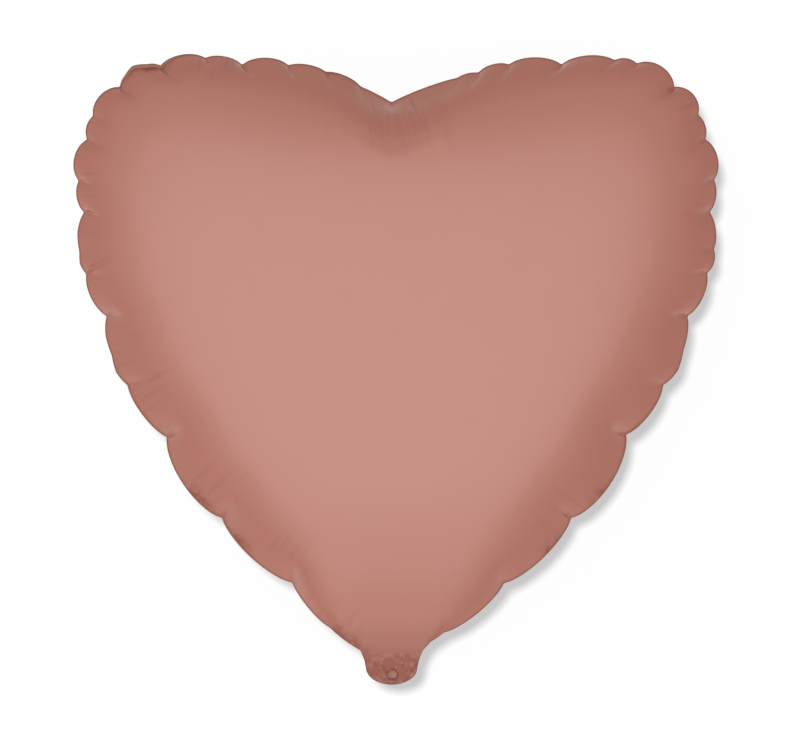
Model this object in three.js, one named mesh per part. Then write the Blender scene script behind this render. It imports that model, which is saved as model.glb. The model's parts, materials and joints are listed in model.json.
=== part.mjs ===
// Heart-shaped foil balloon, inflated, built as the four films it is welded from.
//
// Units are millimetres and +Z is up. The heart stands upright in the XZ plane with its front towards -Y
// and its tail pointing down. The origin is the middle of the neck, where the tail meets the heart and a
// ribbon is tied, and the tail folds about the X axis through it.
//
// Two domed panels meet in a flat welded rim. Inside, two flat valve strips run from the tail up into the
// gas chamber. Every film is cut at the fold line, because the tail below it is a body of its own.

import * as THREE from 'three';

// ---- driving dimensions -------------------------------------------------------------------------------

const FILM = 0.4; // modelled film thickness
const GAP = 0.3; // air between neighbouring films
const DOME_HEIGHT = 75; // how far each panel stands out from the rim plane
const SEAL_WIDTH = 4.5; // flat welded rim, measured towards the heart's middle
const HEART_MIDDLE = 222; // height of the middle of the heart above the neck
const STATION_STEP = 10; // longest step between points of the rim

const FOLD_GAP = 3; // clear of each film on both sides of the fold line, so that the tail can fold
const NECK_HALF_WIDTH = 14; // the panels stand apart here to let the valve strips through

const RIM_SLOPE = 1.8; // steepest rise of a panel beside the seam
const RIM_REACH = [8, 45]; // the seam eases off over this far in from it
const BRIDGE_HEIGHT = 366; // the swell is that of a heart whose notch is filled up to here
const BRIDGE_REACH = 75; // and from the middle out to here
const NECK_SLOPE = 0.9; // steepest rise of a panel above the fold, which leaves room for the folded tail
const NECK_REACH = [60, 140]; // the neck eases off between these heights
const NECK_CLEAR = 8; // the panels start to rise gently below this height

const TAIL_HALF_WIDTH = 16;
const TAIL_FLARE = 1; // the tail is this much wider on each side where it meets the fold
const TAIL_SHOULDER = -8; // below this height the tail's end is round
const TAIL_END = -18.6;
const FILL_HOLE = { x: 0.5, z: -12.8, radius: 3.3 };

const VALVE_HALF_WIDTH = 12.5;
const VALVE_TOP = 92;
const VALVE_TAIL_END = -16.4; // the valve strips stop a little inside the tail's end

// Where the rim is drawn in between two puckers, from the notch down each side to the neck. Each row is
// the pucker's distance from the middle, its height, and how far the lobe above it swells out.
const RIGHT_PUCKERS = [
  [41, 358.3, 1.5], [54, 361.4, 1.4], [73, 366.4, 3], [105.5, 366.3, 4.8], [138.5, 369, 4.7],
  [152.2, 367, 2.6], [175.2, 352.4, 7], [190, 335.3, 6.4], [194.3, 320.1, 2.9], [199.8, 295, 5.6],
  [197.1, 275, 3.1], [199.7, 251.8, 3], [195.5, 237.3, 2.8], [183.2, 210.6, 4.4], [181.2, 189, 1.6],
  [168.3, 167.7, 3.5], [145.2, 137, 4.6], [111.2, 85.4, 9.2], [69.5, 44.8, 6.1], [32.5, 14.2, 4.3],
  [24.5, 8.5, 0.4],
];
const LEFT_PUCKERS = [
  [19.7, 353.2, 0.5], [41, 361.9, 2.6], [64.2, 365.9, 2.8], [92.8, 366.1, 4.9], [115.8, 370.4, 3.5],
  [143.4, 365.7, 4.8], [161, 365.8, 1.1], [168.6, 352.4, 1.2], [185.2, 334.5, 5.8], [188.7, 320, 2.8],
  [194, 294.5, 6], [190.6, 274.8, 3.4], [193.9, 250.3, 2.9], [189.3, 236.4, 2.1], [176.5, 210.6, 4.2],
  [173.8, 186, 2.5], [163.8, 167.7, 2.7], [139.3, 135.4, 4.1], [105.1, 85.4, 8.5], [61.6, 45.3, 6.3],
  [38.5, 17.3, 2.7], [25, 6.2, 0.6],
];
const LOBE_ROUNDNESS = 0.7; // 1 makes each lobe a parabola, and less makes its ends rounder
const NOTCH_HEIGHT = 343;
const NECK_CORNER = 19.5; // half width of the rim where it is cut at the fold

// How far out each ring of a panel's grid lies, from the seam (1) to the flat patch in its middle.
const RINGS = [1, 0.975, 0.91, 0.8, 0.62, 0.4, 0.09];

// Successive over-relaxation of the soap film that gives the panels their swell.
const SWEEPS = 4000;
const OVERSHOOT = 1.97;

// ---- rim outline --------------------------------------------------------------------------------------

/** Points of the arc from one pucker to the next, with its middle `bulge` outside the chord. */
function lobe(from, to, bulge, side) {
  const chord = new THREE.Vector2().subVectors(to, from);
  const steps = Math.max(2, Math.round(chord.length() / STATION_STEP));
  const outward = new THREE.Vector2(-chord.y, chord.x).normalize().multiplyScalar(side);
  const points = [];
  for (let i = 1; i <= steps; i += 1) {
    const t = i / steps;
    const point = from.clone().addScaledVector(chord, t);
    points.push(point.addScaledVector(outward, bulge * (4 * t * (1 - t)) ** LOBE_ROUNDNESS));
  }
  return points;
}

/** One side of the rim, from just after the notch down to its last pucker, for x > 0 or x < 0. */
function rimSide(puckers, side) {
  const points = [];
  let from = new THREE.Vector2(0, NOTCH_HEIGHT);
  for (const [distance, height, bulge] of puckers) {
    const to = new THREE.Vector2(side * distance, height);
    points.push(...lobe(from, to, bulge, side));
    from = to;
  }
  return points;
}

/** The whole rim, clockwise seen from the front, starting at the notch. */
function rimOutline() {
  const neck = [NECK_CORNER, NECK_HALF_WIDTH, 0, -NECK_HALF_WIDTH, -NECK_CORNER];
  return [
    new THREE.Vector2(0, NOTCH_HEIGHT),
    ...rimSide(RIGHT_PUCKERS, 1),
    ...neck.map((x) => new THREE.Vector2(x, FOLD_GAP)),
    ...rimSide(LEFT_PUCKERS, -1).reverse(),
  ];
}

/** The outline with its puckers smoothed away, each point the mean of its neighbours. */
function smoothed(outline, reach) {
  return outline.map((_, i) => {
    const mean = new THREE.Vector2();
    for (let k = -reach; k <= reach; k += 1) {
      mean.add(outline[(i + k + outline.length) % outline.length]);
    }
    return mean.divideScalar(2 * reach + 1);
  });
}

// ---- panel grid ---------------------------------------------------------------------------------------

/** Rings of flat grid points from the cut edge inwards; the last ring holds only the middle point. */
function panelRings(outline) {
  const middle = new THREE.Vector2(0, HEART_MIDDLE);
  const towards = (point, distance) => point.clone()
    .addScaledVector(new THREE.Vector2().subVectors(middle, point).normalize(), distance);
  const seam = outline.map((point) => towards(point, SEAL_WIDTH));
  const calm = smoothed(seam, 5);
  const rings = RINGS.map((out) => seam.map((point, i) => {
    const rim = calm[i].clone().lerp(point, out ** 8);
    return rim.sub(middle).multiplyScalar(out).add(middle);
  }));
  return [outline, ...rings, [middle]];
}

/** Triangles between neighbouring rings, as indices into the flattened rings. */
function ringTriangles(rings) {
  const count = rings[0].length;
  const centre = count * (rings.length - 1);
  const triangles = [];
  for (let i = 0; i < count; i += 1) {
    const next = (i + 1) % count;
    for (let r = 0; r + 2 < rings.length; r += 1) {
      const [a, b] = [r * count + i, r * count + next];
      triangles.push([a, b, a + count], [b, b + count, a + count]);
    }
    triangles.push([centre - count + i, centre - count + next, centre]);
  }
  return triangles;
}

/**
 * Swell of the gas chamber above each grid point. It is the root of the height of a soap film under even
 * pressure, which is round in section like an inflated panel and falls to nothing along the seam.
 */
function swell(points, triangles, fixedCount) {
  const links = points.map(() => new Map());
  const area = new Float64Array(points.length);
  const link = (a, b, weight) => {
    links[a].set(b, (links[a].get(b) ?? 0) + weight);
    links[b].set(a, (links[b].get(a) ?? 0) + weight);
  };
  for (const triangle of triangles) {
    for (let k = 0; k < 3; k += 1) {
      const [apex, a, b] = [0, 1, 2].map((n) => triangle[(k + n) % 3]);
      const u = new THREE.Vector2().subVectors(points[a], points[apex]);
      const v = new THREE.Vector2().subVectors(points[b], points[apex]);
      const doubleArea = Math.abs(u.cross(v));
      link(a, b, u.dot(v) / doubleArea / 2);
      area[apex] += doubleArea / 6;
    }
  }
  const height = new Float64Array(points.length);
  for (let sweep = 0; sweep < SWEEPS; sweep += 1) {
    for (let i = fixedCount; i < points.length; i += 1) {
      let [sum, weights] = [area[i], 0];
      for (const [j, weight] of links[i]) {
        sum += weight * height[j];
        weights += weight;
      }
      height[i] += OVERSHOOT * (sum / weights - height[i]);
    }
  }
  const top = Math.max(...height);
  return Array.from(height, (value) => Math.sqrt(Math.max(value, 0) / top));
}

/** A closed film: the inner face's points, the outer face one film thickness away, and the cut edge. */
function filmGeometry(inner, triangles, edgeCount, front) {
  const flat = new THREE.BufferGeometry();
  flat.setAttribute('position', new THREE.Float32BufferAttribute(inner.flatMap((p) => p.toArray()), 3));
  flat.setIndex(triangles.flat());
  flat.computeVertexNormals();
  const normals = flat.getAttribute('normal');
  const outer = inner.map((point, i) => {
    const away = new THREE.Vector3().fromBufferAttribute(normals, i);
    if (away.y * front > 0) away.negate();
    return point.clone().addScaledVector(away, FILM);
  });
  const faces = [];
  for (const [a, b, c] of triangles) {
    faces.push([a, c, b], [a + inner.length, b + inner.length, c + inner.length]);
  }
  for (let i = 0; i < edgeCount; i += 1) {
    const next = (i + 1) % edgeCount;
    faces.push([i, next, next + inner.length], [i, next + inner.length, i + inner.length]);
  }
  if (front > 0) faces.forEach((face) => face.reverse());
  const geometry = new THREE.BufferGeometry();
  const points = [...inner, ...outer].flatMap((point) => point.toArray());
  geometry.setAttribute('position', new THREE.Float32BufferAttribute(points, 3));
  geometry.setIndex(faces.flat());
  geometry.computeVertexNormals();
  return geometry;
}

/** The rim with its notch filled, each point moved straight away from the heart's middle. */
function bridged(outline) {
  return outline.map((point) => {
    if (Math.abs(point.x) > BRIDGE_REACH || point.y < HEART_MIDDLE || point.y > BRIDGE_HEIGHT) return point;
    const stretch = (BRIDGE_HEIGHT - HEART_MIDDLE) / (point.y - HEART_MIDDLE);
    return new THREE.Vector2(point.x * stretch, BRIDGE_HEIGHT);
  });
}

/** Swell at `distance` from the middle along a spoke with known swells, as [distance, swell] pairs. */
function alongSpoke(spoke, distance) {
  const next = spoke.findIndex(([reached]) => reached <= distance);
  if (next <= 0) return next === 0 ? spoke[0][1] : spoke.at(-1)[1];
  const [[far, low], [near, high]] = [spoke[next - 1], spoke[next]];
  return Math.sqrt(THREE.MathUtils.lerp(low ** 2, high ** 2, (far - distance) / (far - near)));
}

/** A soft minimum of two heights. */
function lower(a, b) {
  return a * b === 0 ? 0 : (a * b) / (a ** 4 + b ** 4) ** 0.25;
}

/** Swell of a panel, held down beside the seam and above the neck. */
function heldDown(full, inward, height) {
  const { lerp, smoothstep } = THREE.MathUtils;
  const lens = lerp(lower(full, RIM_SLOPE * inward), full, smoothstep(inward, ...RIM_REACH));
  const above = Math.max(height - FOLD_GAP, 0);
  const rise = NECK_SLOPE * above * smoothstep(height, FOLD_GAP, NECK_CLEAR);
  return lerp(lower(lens, rise), lens, smoothstep(height, ...NECK_REACH));
}

/** One domed panel with its flat rim; `front` is 1 for the panel that faces -Y and -1 for the rear one. */
function panelGeometry(front) {
  const rings = panelRings(rimOutline());
  const count = rings[0].length;
  const points = rings.flat();
  const triangles = ringTriangles(rings);
  const middle = new THREE.Vector2(0, HEART_MIDDLE);
  const bridge = panelRings(bridged(rimOutline()));
  const free = swell(bridge.flat(), triangles, 2 * count);
  // The last ring and the middle point share one height, which leaves a small flat patch to stick to.
  const patch = Math.max(...free.slice(-1 - count));
  const heights = points.map((point, i) => {
    if (i >= points.length - 1 - count) return 1;
    const spoke = bridge.slice(0, -1).map((ring, k) => [
      ring[i % count].distanceTo(middle),
      free[k * count + (i % count)],
    ]);
    return Math.min(alongSpoke(spoke, point.distanceTo(middle)) / patch, 1);
  });
  const inner = points.map((point, i) => {
    const station = rings[0][i % count];
    const ring = Math.floor(i / count);
    const out = ring === 0 ? 1 : RINGS[ring - 1] ?? 0;
    const inNeck = station.y === FOLD_GAP && Math.abs(station.x) <= NECK_HALF_WIDTH;
    const neckLift = inNeck ? (FILM + GAP) * Math.max(0, 2 * out - 1) : 0;
    const inward = Math.max(1 - out, 0) * station.distanceTo(middle);
    const dome = heldDown(DOME_HEIGHT * heights[i], inward, point.y);
    return new THREE.Vector3(point.x, -front * (GAP / 2 + neckLift + dome), point.y);
  });
  return filmGeometry(inner, triangles, count, front);
}

// ---- flat films ---------------------------------------------------------------------------------------

/** A flat film with the given outline in the XZ plane, from y = `near` one film thickness backwards. */
function flatFilm(shape, near) {
  const geometry = new THREE.ExtrudeGeometry(shape, { depth: FILM, bevelEnabled: false, curveSegments: 16 });
  return geometry.rotateX(Math.PI / 2).translate(0, near + FILM, 0);
}

/** Outline of the tail, or of a narrower strip inside it, below the fold line. */
function tailShape(halfWidth, flare, shoulder, end, hole) {
  const shape = new THREE.Shape();
  shape.moveTo(-halfWidth - flare, -FOLD_GAP);
  shape.lineTo(-halfWidth, shoulder);
  shape.absellipse(0, shoulder, halfWidth, shoulder - end, Math.PI, 2 * Math.PI, false, 0);
  shape.lineTo(halfWidth + flare, -FOLD_GAP);
  if (hole) {
    shape.holes.push(new THREE.Path().absarc(hole.x, hole.z, hole.radius, 0, 2 * Math.PI, true));
  }
  return shape;
}

/** Outline of a valve strip above the fold line. */
function valveShape() {
  const shape = new THREE.Shape();
  shape.moveTo(-VALVE_HALF_WIDTH, FOLD_GAP);
  shape.lineTo(VALVE_HALF_WIDTH, FOLD_GAP);
  shape.lineTo(VALVE_HALF_WIDTH, VALVE_TOP);
  shape.lineTo(-VALVE_HALF_WIDTH, VALVE_TOP);
  return shape;
}

// ---- materials and assembly ---------------------------------------------------------------------------

const foil = new THREE.MeshStandardMaterial({ color: 0xc18774, roughness: 0.35, metalness: 0.9 });
const tailFoil = new THREE.MeshStandardMaterial({ color: 0x9c6052, roughness: 0.45, metalness: 0.9 });
const clearFilm = new THREE.MeshStandardMaterial({ color: 0xe6e2dc, roughness: 0.2, metalness: 0 });

const balloon = new THREE.Group();

function add(name, geometry, material, parent = balloon) {
  const mesh = new THREE.Mesh(geometry, material);
  mesh.name = name;
  parent.add(mesh);
}

add('front_panel', panelGeometry(1), foil);
add('rear_panel', panelGeometry(-1), foil);

// Near faces of the four flat layers, from the front of the tail to its back.
const [frontFoil, frontValve, rearValve, rearFoil] = [-2, -1, 0, 1]
  .map((layer) => layer * (FILM + GAP) + GAP / 2);
const valveInlet = (hole) => tailShape(VALVE_HALF_WIDTH, 0, TAIL_SHOULDER, VALVE_TAIL_END, hole);
const tailFilm = (hole) => tailShape(TAIL_HALF_WIDTH, TAIL_FLARE, TAIL_SHOULDER, TAIL_END, hole);

add('valve_front_film', flatFilm(valveShape(), frontValve), clearFilm);
add('valve_rear_film', flatFilm(valveShape(), rearValve), clearFilm);

const tail = new THREE.Group();
balloon.add(tail);
add('tail_front_film', flatFilm(tailFilm(FILL_HOLE), frontFoil), tailFoil, tail);
add('valve_front_inlet', flatFilm(valveInlet(FILL_HOLE), frontValve), clearFilm, tail);
add('valve_rear_inlet', flatFilm(valveInlet(null), rearValve), clearFilm, tail);
add('tail_rear_film', flatFilm(tailFilm(null), rearFoil), tailFoil, tail);

export default balloon;
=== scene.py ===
"""Heart-shaped foil balloon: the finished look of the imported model.

Two satin foil films are welded round their edge and filled with gas. The rim puckers into scallops, because
film doesn't stretch, and each pucker sends a crease inwards. A flat tail with a fill hole hangs below the
neck, and two clear valve strips run from it up into the gas chamber. Everything is in metres, +Z up, with the
front of the balloon towards -Y.
"""

import json
import logging
import math
from dataclasses import dataclass, field
from enum import Enum

import bmesh
import bpy
import numpy as np
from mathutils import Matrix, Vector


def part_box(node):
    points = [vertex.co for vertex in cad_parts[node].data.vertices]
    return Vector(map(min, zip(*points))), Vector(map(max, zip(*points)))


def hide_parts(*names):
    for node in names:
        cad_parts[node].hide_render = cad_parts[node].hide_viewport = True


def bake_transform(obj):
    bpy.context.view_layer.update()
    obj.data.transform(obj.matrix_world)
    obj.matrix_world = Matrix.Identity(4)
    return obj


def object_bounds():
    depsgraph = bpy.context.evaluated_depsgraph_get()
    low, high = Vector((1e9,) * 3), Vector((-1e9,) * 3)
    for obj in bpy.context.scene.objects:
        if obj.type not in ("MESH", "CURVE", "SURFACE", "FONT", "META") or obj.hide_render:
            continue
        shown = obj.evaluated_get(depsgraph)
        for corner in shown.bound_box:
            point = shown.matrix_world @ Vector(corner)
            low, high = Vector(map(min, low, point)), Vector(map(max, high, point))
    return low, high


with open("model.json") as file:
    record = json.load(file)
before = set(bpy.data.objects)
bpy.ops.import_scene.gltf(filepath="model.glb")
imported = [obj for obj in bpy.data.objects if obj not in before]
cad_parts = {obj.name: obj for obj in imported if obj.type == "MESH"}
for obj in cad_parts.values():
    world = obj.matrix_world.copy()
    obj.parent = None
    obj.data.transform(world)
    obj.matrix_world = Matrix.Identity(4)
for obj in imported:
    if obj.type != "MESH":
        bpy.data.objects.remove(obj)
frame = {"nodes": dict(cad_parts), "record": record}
CAD_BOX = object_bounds()

LOG = logging.getLogger("foil_balloon")
MM = 0.001
# Per-vertex mask that deepens a film's colour: on the foil films mostly painted shade, on the valve strips
# the release print.
MASK_NAME = "depth"
Colour = tuple[float, float, float, float]
Feeds = dict[str | int, object]


class Face(Enum):
    """Which side of the balloon a film is on, as the sign of its Y."""

    FRONT = -1
    REAR = 1


class Edge(Enum):
    """How a crease in the film looks across its length."""

    VALLEY = "valley"
    FOLD = "fold"


# ---- small helpers --------------------------------------------------------------------------------------


def smoothstep(value: np.ndarray, low: float, high: float) -> np.ndarray:
    """Rise smoothly from 0 at `low` to 1 at `high`.

    Args:
        value: Numbers to map.
        low: Where the rise starts.
        high: Where the rise ends.

    Returns:
        Numbers from 0 to 1, of the same shape as `value`.
    """
    t = np.clip((value - low) / (high - low), 0.0, 1.0)
    return t * t * (3.0 - 2.0 * t)


def lengths(vectors: np.ndarray) -> np.ndarray:
    """Length of each row."""
    return np.linalg.norm(vectors, axis=1)


def crossed(a: np.ndarray, b: np.ndarray) -> np.ndarray:
    """Cross product of each pair of rows in the plane."""
    return a[:, 0] * b[:, 1] - a[:, 1] * b[:, 0]


def turned(way: np.ndarray, degrees: float) -> np.ndarray:
    """A direction in the XZ plane, turned anticlockwise as the front view shows it."""
    turn = math.radians(degrees)
    return np.array([
        way[0] * math.cos(turn) - way[1] * math.sin(turn),
        way[0] * math.sin(turn) + way[1] * math.cos(turn),
    ])


def inward_normals(line: np.ndarray, reach: int) -> np.ndarray:
    """Inward directions along a closed line that runs clockwise.

    Args:
        line: The line's points, one row each.
        reach: How many points either way the line's direction is taken over.

    Returns:
        One unit vector for each point.
    """
    tangent = np.roll(line, -reach, axis=0) - np.roll(line, reach, axis=0)
    tangent /= lengths(tangent)[:, None]
    return np.stack([tangent[:, 1], -tangent[:, 0]], axis=1)


def between(draw: np.random.Generator, low: float, high: float) -> float:
    """Draw one number from a range."""
    return low + (high - low) * draw.random()


def resampled(line: np.ndarray, count: int) -> np.ndarray:
    """Points at equal distances along an open line.

    Args:
        line: Corner points, one row each.
        count: How many points to return, both ends among them.

    Returns:
        An array of `count` points.
    """
    steps = lengths(np.diff(line, axis=0))
    along = np.concatenate([[0.0], np.cumsum(steps)])
    wanted = np.linspace(0.0, along[-1], count)
    return np.stack([np.interp(wanted, along, line[:, k]) for k in range(line.shape[1])], axis=1)


def distance_to_line(points: np.ndarray, line: np.ndarray) -> np.ndarray:
    """Shortest distance from each point to an open line in the plane.

    Args:
        points: Points to measure, one row each.
        line: The line's corner points.

    Returns:
        One distance for each point.
    """
    best = np.full(len(points), np.inf)
    for a, b in zip(line[:-1], line[1:]):
        ab = b - a
        t = np.clip((points - a) @ ab / max(float(ab @ ab), 1e-12), 0.0, 1.0)
        best = np.minimum(best, lengths(points - a - t[:, None] * ab))
    return best



def patchy(points: np.ndarray, cell: float, seed: int = 3, tiles: int = 64) -> np.ndarray:
    """Smooth patches of a given size, which repeat only after many patches.

    Args:
        points: XZ points, one row each.
        cell: Size of a patch in metres.
        seed: Which pattern of patches.
        tiles: How many patches either way until the pattern repeats.

    Returns:
        One number for each point, from -0.5 to 0.5.
    """
    table = np.random.default_rng(seed).random((tiles, tiles)) - 0.5
    place = points / cell
    whole = np.floor(place).astype(int)
    u, v = smoothstep((place - whole).T, 0.0, 1.0)
    i, j = whole.T % tiles
    k, m = (i + 1) % tiles, (j + 1) % tiles
    lower = table[i, j] * (1 - u) + table[k, j] * u
    upper = table[i, m] * (1 - u) + table[k, m] * u
    return lower * (1 - v) + upper * v


def linked(name: str, data: bpy.types.ID) -> bpy.types.Object:
    """Put object data into the scene as a new object at the origin."""
    made = bpy.data.objects.new(name, data)
    bpy.context.scene.collection.objects.link(made)
    return made


def mesh_object(name: str, points: np.ndarray, faces: list[tuple[int, ...]]) -> bpy.types.Object:
    """Make a smooth-shaded mesh object at the origin.

    Args:
        name: The object's name.
        points: Vertex places.
        faces: Vertex numbers of each face.

    Returns:
        The new object, linked to the scene.
    """
    mesh = bpy.data.meshes.new(name)
    mesh.from_pydata(points.tolist(), [], faces)
    mesh.shade_smooth()
    return linked(name, mesh)


def store_attribute(piece: bpy.types.Object, name: str, values: np.ndarray) -> None:
    """Keep one number on each vertex of a piece, for its material to read."""
    layer = piece.data.attributes.new(name, "FLOAT", "POINT")
    layer.data.foreach_set("value", values.astype(np.float32))


# ---- outline of the balloon, read from the frame --------------------------------------------------------


@dataclass
class Outline:
    """The balloon's cut edge in the XZ plane, taken from the frame and sampled finely.

    The heart's stations run clockwise seen from the front, from the notch. They close along the straight
    fold line, where the tail starts. `calm` is the outline without its puckers, and `bridge` is that with the
    notch filled in. Turns are in degrees: the rim's own at a pucker, and those between which a pucker goes
    from rounded off to sharp. Spans and margins are in stations.
    """

    stations: int = 1800
    fold_stations: int = 50
    lobe_roundness: float = 0.7
    calm_reach: float = 15 * MM
    bridge_height: float = 366 * MM
    bridge_reach: float = 75 * MM
    sharp_round: float = 0.35 * MM
    shallow_round: float = 1.1 * MM
    pucker_turn: float = 4.0
    sharp_turns: tuple[float, float] = (42.0, 62.0)
    turn_span: int = 6
    fold_margin: int = 12
    round_spread: float = 3 * MM
    spread_gain: float = 3.0
    kept_margin: float = 3.5
    lobe_points: int = 64
    rim_levels: tuple[float, float] = (0.15 * MM, 0.85 * MM)
    clear_of_edge: float = 2 * MM
    middle: np.ndarray = field(init=False)
    heart: np.ndarray = field(init=False)
    calm: np.ndarray = field(init=False)
    bridge: np.ndarray = field(init=False)
    puckers: list[np.ndarray] = field(init=False)
    tail: np.ndarray = field(init=False)
    hole_middle: np.ndarray = field(init=False)
    hole_radius: float = field(init=False)
    fold_first: int = field(init=False)

    def __post_init__(self) -> None:
        """Read the frame and build the fine outlines."""
        mount = next(m for m in frame["record"]["mounts"] if m["name"] == "front_sticker")
        self.middle = np.array([mount["pos_m"][0], mount["pos_m"][2]])
        corners = self._farthest("front_panel", self.middle)
        self._read_tail()
        self._refine(corners)
        self._smooth()

    @staticmethod
    def _node_points(node: str) -> np.ndarray:
        """Every vertex of a CAD node."""
        return np.array([v.co for v in frame["nodes"][node].data.vertices])

    def _farthest(self, node: str, centre: np.ndarray) -> np.ndarray:
        """Outermost vertices of a CAD node on its rim's levels, clockwise round a centre.

        Args:
            node: The CAD node's name.
            centre: The XZ point that angles are measured about.

        Returns:
            XZ points sorted clockwise from straight up.
        """
        points = self._node_points(node)
        flat = np.zeros(len(points), bool)
        for level in self.rim_levels:
            flat |= np.abs(np.abs(points[:, 1]) - level) < 0.03 * MM
        spokes = points[flat][:, [0, 2]] - centre
        angle = np.round(np.arctan2(spokes[:, 0], spokes[:, 1]) % (2 * math.pi), 4)
        radius = lengths(spokes)
        order = np.lexsort((-radius, angle))
        _, first = np.unique(angle[order], return_index=True)
        return spokes[order][first] + centre

    def _read_tail(self) -> None:
        """Find the tail's outline and its fill hole."""
        points = self._node_points("tail_front_film")[:, [0, 2]]
        low, high = points.min(0), points.max(0)
        shoulder = points[np.abs(points[:, 0]) > 0.9 * high[0]][:, 1].max()
        near_middle = np.abs(points[:, 0]) < 0.4 * (high[0] - 1 * MM)
        above = points[:, 1] > low[1] + self.clear_of_edge
        below_fold = points[:, 1] < high[1] - self.clear_of_edge
        inner = points[near_middle & above & below_fold]
        self.hole_middle = (inner.min(0) + inner.max(0)) / 2
        self.hole_radius = float((inner.max(0) - inner.min(0))[0] / 2)
        below = points[points[:, 1] < shoulder - self.clear_of_edge]
        outside = lengths(below - self.hole_middle) > self.hole_radius * 1.1
        rim = np.unique(np.round(below[outside], 6), axis=0)
        turn = np.arctan2(rim[:, 0] - self.hole_middle[0], self.hole_middle[1] - rim[:, 1])
        self.tail = np.concatenate([[[high[0], high[1]]], rim[np.argsort(-turn)], [[low[0], high[1]]]])

    def _refine(self, corners: np.ndarray) -> None:
        """Turn the frame's coarse rim into fine round lobes between sharp puckers.

        Args:
            corners: The coarse rim, clockwise from the notch.
        """
        fold = corners[:, 1].min()
        notch = int(np.argmin(np.where(corners[:, 1] > self.middle[1], np.abs(corners[:, 0]), 1.0)))
        corners = np.roll(corners, -notch, axis=0)
        neck = np.nonzero(corners[:, 1] < fold + 0.1 * MM)[0]
        right, left = corners[: neck[0] + 1], corners[neck[-1] :]
        left = np.concatenate([left, corners[:1]])
        half = (right[-1][0] + self.tail[0][0]) / 2
        self.puckers = []
        right_fine = np.concatenate([self._lobes(right), [[half, 0.0]]])
        left_fine = np.concatenate([[[-half, 0.0]], self._lobes(left)])
        side = (self.stations - self.fold_stations) // 2
        fold_line = np.array([[half, 0.0], [-half, 0.0]])
        self.heart = np.concatenate([
            resampled(right_fine, side + 1)[:-1],
            resampled(fold_line, self.fold_stations + 1)[:-1],
            resampled(left_fine, side + 1)[:-1],
        ])
        self.tail = np.concatenate([[[half, 0.0]], self.tail, [[-half, 0.0]]])
        self.fold_first = side

    def _lobes(self, side: np.ndarray) -> np.ndarray:
        """Round out each lobe between two puckers of one side.

        Args:
            side: Coarse points of one side, from one end to the other.

        Returns:
            Fine points of the same side.
        """
        before, after = side[1:-1] - side[:-2], side[2:] - side[1:-1]
        bend = crossed(before, after) / (lengths(before) * lengths(after))
        sharp = np.nonzero(bend > math.sin(math.radians(self.pucker_turn)))[0] + 1
        stops = [0, *sharp.tolist(), len(side) - 1]
        self.puckers.extend(side[i] for i in sharp)
        fine = []
        for first, last in zip(stops[:-1], stops[1:]):
            chord = side[last] - side[first]
            length = max(float(np.linalg.norm(chord)), 1e-9)
            outward = np.array([-chord[1], chord[0]]) / length
            inner = side[first + 1 : last] - side[first]
            share, swell = inner @ chord / length**2, inner @ outward
            round_share = (4 * share * (1 - share)) ** self.lobe_roundness
            bulge = float((swell / round_share).mean()) if len(inner) else 0.0
            t = np.linspace(0.0, 1.0, self.lobe_points + 1)[:-1]
            rest = np.interp(t, [0.0, *share, 1.0], [0.0, *(swell - bulge * round_share), 0.0])
            out = bulge * (4 * t * (1 - t)) ** self.lobe_roundness + rest
            fine.append(side[first] + t[:, None] * chord + out[:, None] * outward)
        fine.append(side[-1:])
        return np.concatenate(fine)

    def _smooth(self) -> None:
        """Round the puckers, shallow ones most, and work out the calm and the bridged outline."""
        fold_middle = self.fold_first + self.fold_stations / 2
        from_fold = np.abs(np.arange(len(self.heart)) - fold_middle)
        turn = self._turns()
        shallow = np.where(turn > self.pucker_turn, 1 - smoothstep(turn, *self.sharp_turns), 0.0)
        shallow[from_fold < self.fold_stations / 2 + self.fold_margin] = 0.0
        spread = self.blurred(shallow[:, None], self.round_spread) * self.spread_gain
        sharp = self.blurred(self.heart, self.sharp_round)
        rounded = self.blurred(self.heart, self.shallow_round)
        self.calm = self.blurred(self.heart, self.calm_reach)
        self.bridge = self._bridged(self.calm)
        kept = (from_fold < self.fold_stations / 2 + self.kept_margin)[:, None]
        self.heart = np.where(kept, self.heart, sharp + (rounded - sharp) * np.clip(spread, 0, 1))

    def _turns(self) -> np.ndarray:
        """How far the rim turns outwards at each station, in degrees."""
        ahead, behind = (np.roll(self.heart, k, axis=0) for k in (-self.turn_span, self.turn_span))
        before, after = self.heart - behind, ahead - self.heart
        return np.degrees(np.arctan2(crossed(before, after), (before * after).sum(axis=1)))

    def _bridged(self, line: np.ndarray) -> np.ndarray:
        """A copy of an outline with the notch filled up to the bridge's height."""
        filled = line.copy()
        low = (np.abs(line[:, 0]) < self.bridge_reach) & (line[:, 1] > self.middle[1])
        low &= line[:, 1] < self.bridge_height
        stretch = (self.bridge_height - self.middle[1]) / (line[low, 1] - self.middle[1])
        filled[low] = self.middle + (line[low] - self.middle) * stretch[:, None]
        return filled

    def blurred(self, values: np.ndarray, reach: float) -> np.ndarray:
        """Average rows of station values over a distance along the rim.

        Args:
            values: One row for each station.
            reach: Standard deviation of the average in metres.

        Returns:
            The averaged rows.
        """
        spacing = float(lengths(np.roll(self.heart, -1, axis=0) - self.heart).mean())
        count = max(int(math.ceil(3 * reach / spacing)), 2)
        offsets = np.arange(-count, count + 1)
        weights = np.exp(-0.5 * (offsets * spacing / reach) ** 2)
        weights /= weights.sum()
        return sum(w * np.roll(values, -int(k), axis=0) for k, w in zip(offsets, weights))

    def inset(self, distance: np.ndarray) -> np.ndarray:
        """The heart's outline moved inwards along the calm outline's normals.

        Args:
            distance: How far in, for each station.

        Returns:
            One XZ point for each station.
        """
        return self.heart + inward_normals(self.calm, self.turn_span) * distance[:, None]

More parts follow.
